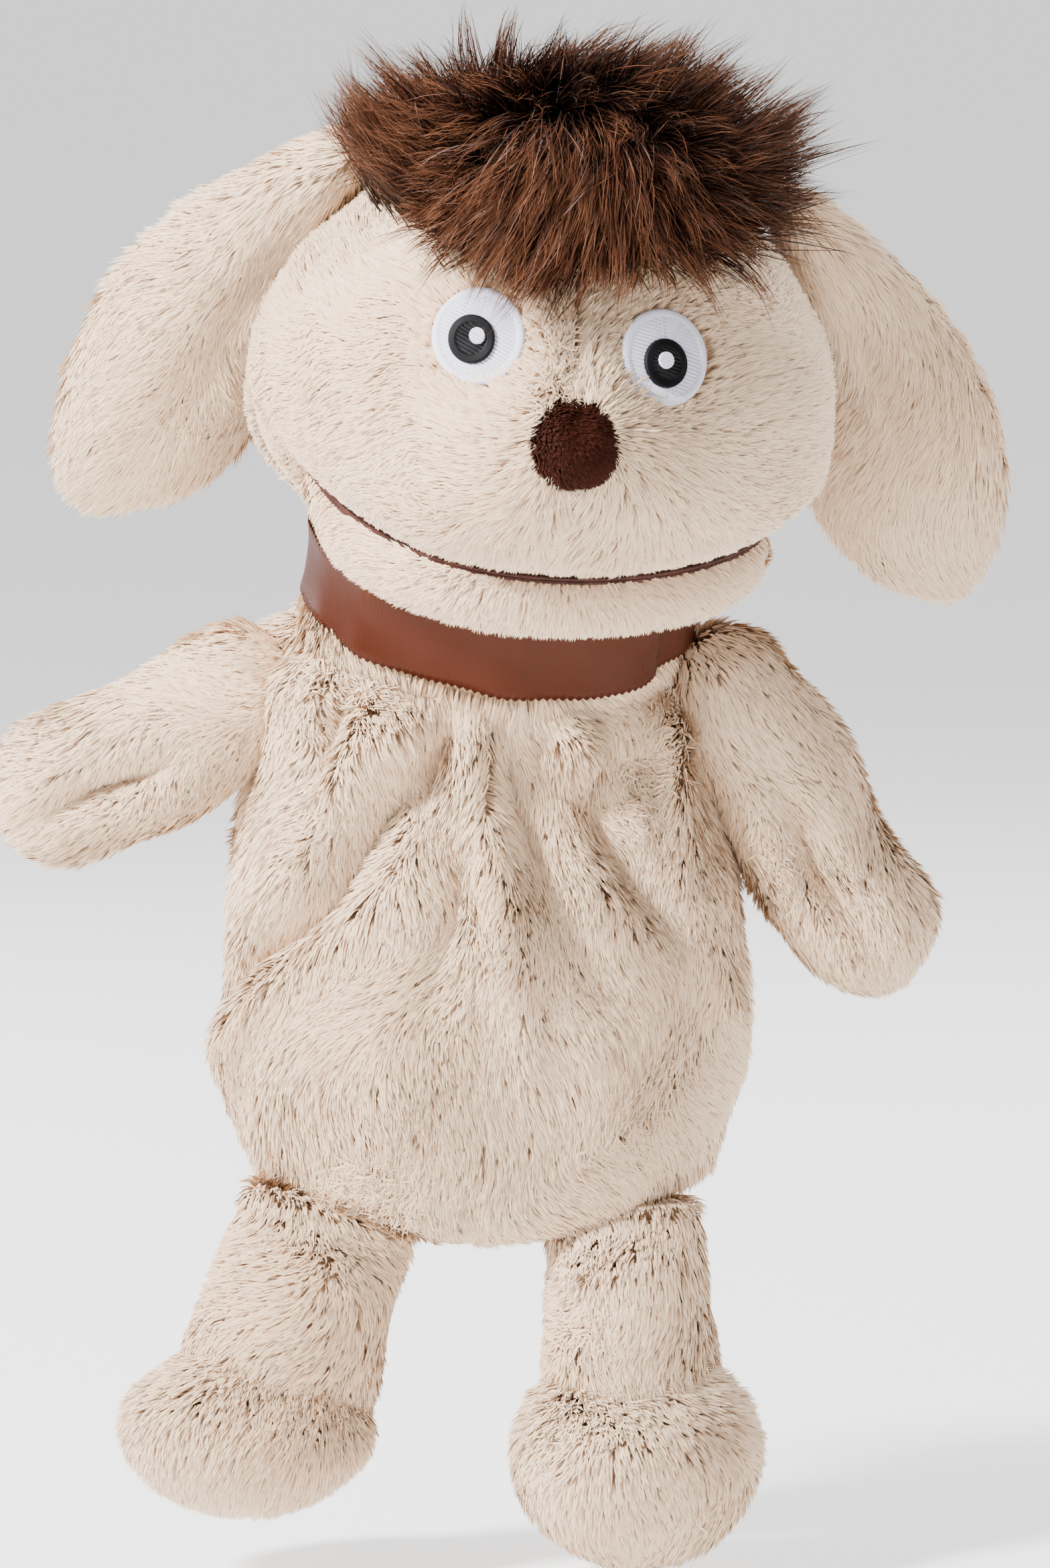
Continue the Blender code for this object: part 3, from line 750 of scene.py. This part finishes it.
def make_eyes():
    for side, sign in SIDES:
        layers = (
            ("white", EYE_RADIUS, (0, 0), 0.0012, WHITE_THREAD, 0.80, 40, "eye_white"),
            ("pupil", EYE_RADIUS * 0.5, PUPIL_SHIFT[side], 0.0019, BLACK_THREAD, 0.62, 20, "eye_black"),
            ("glint", EYE_RADIUS * 0.17, GLINT_SHIFT[side], 0.0026, WHITE_THREAD, 0.95, 9, "eye_white"),
        )
        for layer, radius, shift, height, material, border, lines, slot in layers:
            azimuth = sign * EYE_SPREAD[side] + shift[0] * EYE_RADIUS / HEAD_HALF[0]
            elevation = EYE_ELEVATION[side] + shift[1] * EYE_RADIUS / HEAD_UP
            name = f"{side}_{layer}_embroidery"
            disc = stitched_disc(name, azimuth, elevation, radius, height, material, border, lines)
            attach(disc, "head")
            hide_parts(f"{side}_eye_{layer}")


def make_nose():
    def place(s, t):
        angle = 2 * math.pi * s
        r = max(t, 0.01)
        base, way = on_head(0, NOSE_ELEVATION, NOSE_RADIUS, r * math.cos(angle), r * math.sin(angle))
        return base + way * (-0.001 + 0.0052 * math.sqrt(max(1 - r**2.4, 0)))

    form = loft("nose_form", 48, 12, place, DARK_CLOTH, HEAD, wrap=True, thick=0.0008)
    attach(form, "head")
    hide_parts("nose")
    axis = np.array((HEAD @ head_point(0, NOSE_ELEVATION)).to_tuple())

    def comb(points):
        return unit(points - axis) + np.array((0.5, 0, -0.6))

    def keep(points, normals):
        return ((normals * unit(points - np.array(HEAD.translation))).sum(axis=1) > -0.2).astype(float)

    pile = fur("nose_pile_strands", form, 16000, NOSE_PILE_LENGTH, comb, 15, 0.85, NOSE_PILE, keep)
    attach(pile, "head")


def make_tuft_form():
    def place(s, t):
        angle = 2 * math.pi * s
        r = max(t, 0.01)
        x, y = TUFT_HALF[0] * (r * math.cos(angle)), -TUFT_HALF[1] * (r * math.sin(angle))
        base, way = on_head(0, TUFT_ELEVATION, 1, x, y)
        return base + way * (-0.002 + TUFT_RISE * math.sqrt(max(1 - r**2.5, 0)))

    form = loft("tuft_form", 48, 12, place, DARK_CLOTH, HEAD, wrap=True, thick=0.001)
    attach(form, "head")
    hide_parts("hair_tuft", "tuft_backing")


def plan_wisps(rng):
    """Each wisp's foot, the way out there, its heading, length and tip, in the head's frame."""
    angle = rng.random(WISPS) * 2 * math.pi
    r = np.sqrt(rng.random(WISPS)) * 0.98
    x, y = r * np.cos(angle), r * np.sin(angle)
    feet, ways = [], []
    for a, b in zip(x, y):
        base, way = on_head(0, TUFT_ELEVATION, 1, TUFT_HALF[0] * a, -TUFT_HALF[1] * b)
        feet.append(base + way * ((TUFT_RISE - 0.001) * (1 - math.hypot(a, b) ** 2.5)))
        ways.append(way)
    feet, ways = np.array(feet), np.array(ways)
    spread = np.stack((x, -y, np.zeros(WISPS)), axis=1)
    whirl = swirl(feet, 0.011, 23)
    heading = ways * 0.75 + spread * 0.95 + whirl * 0.42 + rng.normal(size=(WISPS, 3)) * 0.16
    heading = unit(heading + WISP_LEAN)
    fringe = np.clip(y * 1.4, 0, 1)
    shortest, longer = WISP_LENGTH
    length = (shortest + longer * rng.random(WISPS)) * (1.15 - 0.25 * fringe)
    bend = np.stack((-y, -x, np.zeros(WISPS)), axis=1) * 0.3
    bend = bend + rng.normal(size=(WISPS, 3)) * 0.25 + whirl * 0.5
    bend += fringe[:, None] * np.array((0, -0.15, -0.62))
    tip = feet + heading * length[:, None] + bend * (length * 0.45)[:, None]
    return feet, ways, heading, length, tip


def make_tuft():
    """Long shaggy pile on the crown: wisps of many strands, each wisp ending in one pointed tip."""
    make_tuft_form()
    rng = np.random.default_rng(21)
    feet, ways, heading, length, tip = (np.repeat(v, WISP_STRANDS, axis=0) for v in plan_wisps(rng))
    n = len(feet)
    roots = feet + rng.normal(size=(n, 3)) * WISP_LOOSE
    tips = tip + rng.normal(size=(n, 3)) * TIP_LOOSE
    reach = (0.62 + 0.38 * rng.random(n))[:, None]
    width = (WISP_WIDTH * (0.6 + 0.8 * rng.random(n)))[:, None]
    middle = roots + heading * length[:, None] * 0.62
    path = []
    steps = np.linspace(0, 1, WISP_STEPS + 1)
    for s in steps:
        share = s * reach
        path.append(roots * (1 - share) ** 2 + middle * 2 * share * (1 - share) + tips * share**2)
    side = unit(np.cross(heading, ways) + rng.normal(size=(n, 3)) * 0.5)
    wisp_tone = np.repeat(rng.random(WISPS), WISP_STRANDS)
    tone = np.clip(wisp_tone * 0.7 + 0.3 * rng.random(n), 0, 1)
    normals = unit(ways * 0.6 + heading * 0.4 + rng.normal(size=(n, 3)) * 0.3)
    rows = []
    for step in range(WISP_STEPS):
        half = width * (1.0 - 0.15 * step) / 2
        rows += [path[step] - side * half, path[step] + side * half]
    rows.append(path[WISP_STEPS])
    turn_to_world = np.array(HEAD)[:3, :3].T
    rows = [row @ turn_to_world + np.array(HEAD.translation) for row in rows]
    normals = normals @ turn_to_world
    along = np.append(np.repeat(steps[:-1], 2), 1.0)
    across = np.append(np.tile((-1.0, 1.0), WISP_STEPS), 0.0)
    for part, chosen in enumerate((slice(0, n // 2), slice(n // 2, n)), start=1):
        base = (np.arange(len(tone[chosen])) * len(rows))[:, None]
        faces = []
        for first in range(0, 2 * WISP_STEPS - 2, 2):
            faces += (base + [first, first + 1, first + 3, first + 2]).tolist()
        faces += (base + [2 * WISP_STEPS - 2, 2 * WISP_STEPS - 1, 2 * WISP_STEPS]).tolist()
        some = [row[chosen] for row in rows]
        name = f"tuft_strands_{part}"
        made = strand_mesh(name, some, faces, along, across, tone[chosen], normals[chosen], TUFT_PILE)
        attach(made, "head")


# ---------------------------------------------------------------- body, neck and collar

FOLD_DEPTH = 2.0

# Folds of the sleeve: azimuth and height of the middle, their half sizes, slant and depth
FOLDS = (
    (4, 0.60, 4, 0.22, 6, 0.0032),
    (-4, 0.62, 5, 0.20, -10, -0.0022),
    (14, 0.64, 6, 0.2, 20, -0.0022),
    (-38, 0.68, 8, 0.16, -40, 0.0030),
    (-52, 0.50, 9, 0.26, -46, -0.0055),
    (-64, 0.38, 7, 0.22, -30, 0.0040),
    (40, 0.62, 9, 0.2, 40, -0.0040),
    (60, 0.48, 8, 0.2, 30, 0.0030),
    (-20, 0.25, 16, 0.16, 0, 0.0016),
    (30, 0.22, 14, 0.16, 10, 0.0014),
    (150, 0.55, 12, 0.25, 14, -0.0035),
    (-165, 0.50, 12, 0.25, -14, -0.0035),
    (178, 0.65, 10, 0.2, 0, 0.0030),
    (115, 0.4, 12, 0.2, -14, 0.0026),
)


def sleeve_half(axis, share):
    if share < BELLY_SHARE:
        return mix(RIM_HALF[axis], BELLY_HALF[axis], math.sin(math.pi / 2 * share / BELLY_SHARE))
    up = min((share - BELLY_SHARE) / (1 - BELLY_SHARE), 1.15) ** 1.4
    return mix(TOP_HALF[axis], BELLY_HALF[axis], math.cos(math.pi / 2 * up))


def sleeve_point(s, t):
    """From the hem (t 0) up to the top, inside the collar (t 1). s 0 is the dog's front."""
    azimuth = 2 * math.pi * (s if s < 0.5 else s - 1)
    x, y = math.sin(azimuth), -math.cos(azimuth)
    share = t * 1.10
    degrees = math.degrees(azimuth)
    out = 0.0
    for middle, height, wide, tall, slant, depth in FOLDS:
        gap = (degrees - middle - slant * (height - t) / 0.3 + 180) % 360 - 180
        out += FOLD_DEPTH * depth * bump(gap, wide) * bump(t - height, tall)
    gather = bump(t - 0.76, 0.12)
    out += 0.0030 * gather * math.cos(12 * azimuth + 0.8 * math.sin(3 * azimuth))
    out += 0.0013 * gather * math.cos(23 * azimuth + 1)
    out -= 0.0045 * smooth((0.05 - t) / 0.05) ** 2
    rise = RIM_RISE * x * x * (1 - t) ** 2
    low = Vector(
        (
            SLEEVE_X + (sleeve_half(0, share) + out) * x,
            (sleeve_half(1, share) + out) * y,
            SLEEVE_HEIGHT * share + rise + 0.002,
        )
    )
    loose = 1 - smooth((t - 0.79) / 0.07)
    room = (0.0050 + out) * loose - RIBBON_TIGHT
    top = mix(-0.021, RIBBON_TOP - 0.002, (t - 0.76) / 0.24)
    high = NECK @ Vector(((RIBBON_HALF[0] + room) * x, (RIBBON_HALF[1] + room) * y, top))
    return low.lerp(high, smooth((t - 0.55) / 0.25))


def ribbon_rise(angle):
    """The ribbon is pushed up at its sides by the shoulders."""
    side = np.cos(angle)
    return np.where(side > 0, 0.0045, 0.0070) * side**2


def make_sleeve():
    form = loft("sleeve_form", 180, 84, sleeve_point, CREAM_CLOTH, wrap=True, thick=CLOTH)

    def outward(points, normals):
        away = unit((points - (SLEEVE_X, 0, 0)) * (1, 1, 0))
        local = (points - np.array(NECK_CENTRE)) @ np.array(NECK)[:3, :3]
        rise = ribbon_rise(np.arctan2(local[:, 1], local[:, 0]))
        hidden = local[:, 2] > RIBBON_TOP - RIBBON_WIDTH + rise - 0.0005
        return ((normals * away).sum(axis=1) > 0.0) * (1.0 - hidden)

    def comb(points):
        return down(points) + 0.25 * unit((points - (SLEEVE_X, 0, 0)) * (1, 1, 0))

    pieces = [form]
    quarters = (
        ("front_left", 1, -1, 52000),
        ("front_right", -1, -1, 52000),
        ("back_left", 1, 1, 40000),
        ("back_right", -1, 1, 40000),
    )
    for seed, (name, across, deep, count) in enumerate(quarters, start=31):

        def keep(points, normals, across=across, deep=deep):
            here = ((points[:, 0] - SLEEVE_X) * across > 0) * (points[:, 1] * deep > 0)
            return outward(points, normals) * here

        pieces.append(fur(f"body_{name}_pile", form, count, BODY_PILE, comb, seed, 0.65, keep=keep))
    for piece in pieces:
        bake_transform(piece)
    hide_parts("body_front", "body_back", "neck_tube")


def make_throat():
    """The neck's cloth that goes up into the head, seen when the head turns or the jaw opens."""

    def place(s, t):
        angle = 2 * math.pi * s
        inset = mix(0.0030, 0.009, t)
        height = mix(RIBBON_TOP - 0.006, RIBBON_TOP + 0.005, t)
        wide, deep = RIBBON_HALF
        return Vector(((wide - inset) * math.cos(angle), (deep - inset) * math.sin(angle), height))

    form = loft("throat_form", 72, 6, place, CREAM_CLOTH, NECK, wrap=True, thick=CLOTH)
    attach(form, "collar")
    up = np.array(NECK)[:3, 2]

    def comb(points):
        return np.tile(up, (len(points), 1))

    def keep(points, normals):
        away = points - np.array(NECK_CENTRE)
        away = away - np.outer(away @ up, up)
        return ((normals * unit(away)).sum(axis=1) > 0.2).astype(float)

    pile = fur("throat_pile", form, 10000, THROAT_PILE, comb, 36, 0.35, keep=keep)
    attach(pile, "collar")


def make_ribbon():
    """A satin band with looped edges, its end lapped over its start at the dog's left."""
    columns, rows = 320, 10
    start = math.radians(-48)
    sweep = 2 * math.pi + math.radians(16)

    def place(s, t):
        angle = start + sweep * s
        lap = 0.0009 * smooth((s - 0.9) / 0.06)
        wave = 0.0007 * math.sin(5 * angle + 1) + 0.0006 * math.sin(9 * angle + 2.4)
        wave += 0.0003 * math.sin(16 * angle)
        sag = 0.0007 * math.sin(3 * angle + 0.5)
        out = 0.0009 + lap + wave * (0.4 + 0.6 * abs(2 * t - 1)) + 0.0008 * (2 * t - 1) ** 2
        loops = 0.0003 * math.cos(columns * math.pi * s) * (t in (0, 1))
        sag += float(ribbon_rise(angle))
        height = RIBBON_TOP - RIBBON_WIDTH * (1 - t) + sag + loops * (1 if t else -1)
        wide, deep = RIBBON_HALF
        return Vector(((wide + out) * math.cos(angle), (deep + out) * math.sin(angle), height))

    ribbon = loft("ribbon_band", columns, rows, place, SATIN, NECK, thick=0.0003)
    points = mesh_arrays(ribbon)[0]
    back = np.array(NECK.inverted())
    local = points @ back[:3, :3].T + back[:3, 3]
    angle = np.arctan2(local[:, 1], local[:, 0])
    colour = np.ones((len(points), 4))
    colour[:, 0] = 0.5 + angle / (2 * math.pi)
    colour[:, 1] = (local[:, 2] - RIBBON_TOP + RIBBON_WIDTH) / RIBBON_WIDTH
    colour[:, 1] -= ribbon_rise(angle) / RIBBON_WIDTH
    set_strand_data(ribbon.data, colour)
    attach(ribbon, "collar")
    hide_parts("collar_ribbon")


# ---------------------------------------------------------------- ears, arms and legs


def limb_frame(pivot, side, hang):
    """Its X runs along the limb, its Y towards the dog's back."""
    sign = 1 if side == "left" else -1
    along = Vector((sign * math.cos(hang), 0, -math.sin(hang)))
    back = Vector((0, 1, 0))
    axes = Matrix((along, back, along.cross(back))).transposed().to_4x4()
    return Matrix.Translation(pivot) @ axes


def tube(name, frame_at, shape, columns, rows):
    """A closed stuffed form. shape(t, c, n) is its point t along, c towards its side and n to its back."""

    def place(s, t):
        angle = 2 * math.pi * s
        return shape(t, math.cos(angle), math.sin(angle))

    return loft(name, columns, rows, place, CREAM_CLOTH, frame_at, wrap=True, caps=True)


def along_frame(frame_at):
    """Combs pile along a limb, drooping a little."""
    way = np.array(frame_at)[:3, 0]

    def comb(points):
        return np.tile(way, (len(points), 1)) + (0, 0, -PILE_DROOP)

    return comb


def make_ears():
    for side, sign in SIDES:
        pivot = Vector(JOINTS[f"{side}_ear_lift"]["pos_m"])
        hang = limb_frame(Vector(), side, EAR_HANG[side])
        lean = HEAD.to_3x3().to_4x4() @ turn("X", EAR_LEAN_BACK) @ hang
        frame_at = Matrix.Translation(pivot + EAR_SHIFT[side]) @ lean

        def shape(t, c, n, sign=sign):
            s = mix(0.004, 0.996, 0.5 - 0.5 * math.cos(math.pi * t))
            wide = EAR_HALF_WIDTH * math.sin(math.pi * s**1.5) ** 0.62
            puff = EAR_PUFF * math.sqrt(math.sin(math.pi * min(s * 1.02, 0.999)))
            puff *= 1 + 0.8 * bump(s - 0.1, 0.14)
            crease = 0.0022 * bump(c - 0.1, 0.25) * bump(s - 0.5, 0.3) * (n < 0)
            depth = puff * n * (1 - 0.25 * c * c) + crease
            curve = 0.004 * math.sin(2 * math.pi * s) + 0.0035 * (c * wide / 0.018) ** 2
            shift = 0.0025 * math.sin(3 * s + 0.4) * sign
            return Vector((mix(-EAR_ROOT, EAR_LENGTH, s), depth + curve - 0.002, wide * c + shift))

        form = tube(f"{side}_ear_form", frame_at, shape, 48, 44)
        seed = 41 if side == "left" else 42
        pile = fur(f"{side}_ear_pile", form, 48000, BODY_PILE * 1.2, along_frame(frame_at), seed, 0.6)
        for piece in (form, pile):
            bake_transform(piece)
        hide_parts(f"{side}_ear_front", f"{side}_ear_back")


def make_arms():
    for side in ("left", "right"):
        pivot = Vector(JOINTS[f"{side}_arm_raise"]["pos_m"])
        frame_at = limb_frame(pivot + ARM_SHIFT[side], side, ARM_HANG[side])

        def shape(t, c, n, side=side):
            length = ARM_LENGTH[side]
            fat = ARM_HALF_WIDTH[side]
            s = 0.5 - 0.5 * math.cos(math.pi * mix(0.01, 0.99, t))
            along = mix(-ARM_ROOT, length, s)
            tip = min((length - along) / fat, 1)
            root = smooth((along + 0.024) / 0.012) * mix(0.72, 1, smooth((along + 0.012) / 0.030))
            wide = (fat + 0.0025 * bump(along + 0.006, 0.014)) * math.sqrt(max(1 - (1 - tip) ** 2, 0))
            wide *= root
            puff = ARM_PUFF * math.sqrt(max(1 - (1 - min(tip * 1.1, 1)) ** 2, 0)) * root
            side_shift = -0.1 if side == "left" else 0.15
            dent = ARM_DENT * bump(c - side_shift, 0.30) * bump(along - length * 0.52, length * 0.30)
            depth = puff * n * (0.72 + 0.28 * abs(n)) + (dent if n < 0 else -0.4 * dent)
            return Vector((along, depth, wide * c + 0.001 * math.sin(along * 160)))

        form = tube(f"{side}_arm_form", frame_at, shape, 52, 40)
        seed = 51 if side == "left" else 52
        pile = fur(f"{side}_arm_pile", form, 42000, BODY_PILE, along_frame(frame_at), seed, 0.65)
        for piece in (form, pile):
            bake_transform(piece)
        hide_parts(f"{side}_arm_front", f"{side}_arm_back", f"{side}_arm_filling")


def make_legs():
    for side in ("left", "right"):
        hip = Vector(JOINTS[f"{side}_hip_swing"]["pos_m"])
        ankle = Vector(JOINTS[f"{side}_ankle_flex"]["pos_m"])
        thigh_at = limb_frame(hip, side, math.pi / 2 - THIGH_SPLAY[side])
        foot_at = limb_frame(ankle, side, math.pi / 2 - THIGH_SPLAY[side])
        length = (ankle - hip).length

        def thigh_shape(t, c, n, length=length, side=side):
            along = mix(-0.009, length + 0.003, t)
            top = smooth((along + 0.010) / 0.014)
            foot_end = smooth((length + 0.006 - along) / 0.008)
            wide = THIGH_HALF_WIDTH[side] + 0.0022 * smooth(along / length)
            deep = 0.004 + 0.0085 * top
            return Vector((along, deep * n * mix(0.75, 1, foot_end), wide * c * mix(0.88, 1, foot_end)))

        def foot_shape(t, c, n, side=side):
            s = 0.5 - 0.5 * math.cos(math.pi * mix(0.06, 0.99, t))
            along = mix(-0.003, FOOT_LENGTH[side], s)
            mid = s - 0.46
            fullness = math.sqrt(max(1 - mid * mid / 0.31, 0))
            wide = FOOT_HALF_WIDTH[side] * fullness
            deep = FOOT_HALF_DEPTH * fullness * mix(0.7, 1, smooth((along + 0.003) / 0.014))
            seam = 1 - 0.05 * bump(n + 0.55 + 0.25 * c, 0.08)
            shift = FOOT_SWAY[side] * along * smooth(along / 0.013)
            return Vector((along, deep * n * seam - 0.002, wide * c * seam + shift))

        seed = 61 if side == "left" else 62
        parts = (
            ("thigh", thigh_shape, thigh_at, 26000, ("front", "back"), 0.7),
            ("foot", foot_shape, foot_at, 38000, ("upper", "sole"), 0.85),
        )
        for part, shape, at, count, cloths, fill in parts:
            form = tube(f"{side}_{part}_form", at, shape, 56, 36)
            pile = fur(f"{side}_{part}_pile", form, count, BODY_PILE * 0.9, along_frame(at), seed, 0.65)
            for piece in (form, pile):
                if part == "thigh":
                    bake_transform(piece)
                else:
                    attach(piece, f"{side}_foot")
            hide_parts(*(f"{side}_{part}_{cloth}" for cloth in cloths), f"{side}_{part}_filling")
            seed += 4


def finish_cad_nodes():
    """The CAD pieces that stay: the pocket for the fingers and the head's stuffing."""
    for name, material in (("finger_pocket", LINING), ("head_filling", FILLING)):
        node = bpy.data.objects[name]
        node.data.materials.clear()
        node.data.materials.append(material)


def area_light(name, place, size, power, aim):
    light = bpy.data.lights.new(name, "AREA")
    light.shape = "DISK"
    light.size = size
    light.energy = power
    made = bpy.data.objects.new(name, light)
    made.location = place
    made.rotation_euler = (Vector(aim) - Vector(place)).to_track_quat("-Z", "Y").to_euler()
    bpy.context.scene.collection.objects.link(made)


def make_stage():
    bpy.ops.mesh.primitive_plane_add(size=30, location=(0, 0, FLOOR_Z))
    floor = bpy.context.object
    floor.name = "floor"
    made, _, _, shader = new_material("pale_floor")
    shader.inputs["Base Color"].default_value = (0.9, 0.9, 0.9, 1)
    shader.inputs["Emission Color"].default_value = (1, 1, 1, 1)
    shader.inputs["Emission Strength"].default_value = 0.75
    shader.inputs["Roughness"].default_value = 0.9
    floor.data.materials.append(made)
    world = bpy.data.worlds.new("studio")
    world.use_nodes = True
    world.node_tree.nodes["Background"].inputs["Color"].default_value = (1, 1, 1, 1)
    world.node_tree.nodes["Background"].inputs["Strength"].default_value = 0.55
    bpy.context.scene.world = world
    area_light("key", (-0.95, -0.65, 0.85), 0.25, 62, (0, 0, 0.09))
    area_light("fill", (0.9, -0.9, 0.35), 0.9, 1.5, (0, 0, 0.09))
    area_light("rim_left", (-0.7, 0.8, 0.5), 0.7, 12, (0, 0, 0.09))
    area_light("rim_right", (0.8, 0.7, 0.6), 0.7, 14, (0, 0, 0.09))
    lens = bpy.data.cameras.new("camera")
    lens.sensor_fit = "VERTICAL"
    lens.sensor_height = SENSOR
    lens.lens = SENSOR * VIEW_DISTANCE / VIEW_HEIGHT
    lens.clip_start = 0.05
    camera = bpy.data.objects.new("camera", lens)
    back = Vector((0, -math.cos(VIEW_ELEVATION), math.sin(VIEW_ELEVATION)))
    camera.location = VIEW_CENTRE + back * VIEW_DISTANCE
    camera.rotation_euler = (-back).to_track_quat("-Z", "Y").to_euler()
    bpy.context.scene.collection.objects.link(camera)
    bpy.context.scene.camera = camera


make_stage()
finish_cad_nodes()
make_head()
make_jaw()
make_mouth()
make_eyes()
make_nose()
make_tuft()
make_sleeve()
make_throat()
make_ribbon()
make_ears()
make_arms()
make_legs()
bpy.context.view_layer.update()
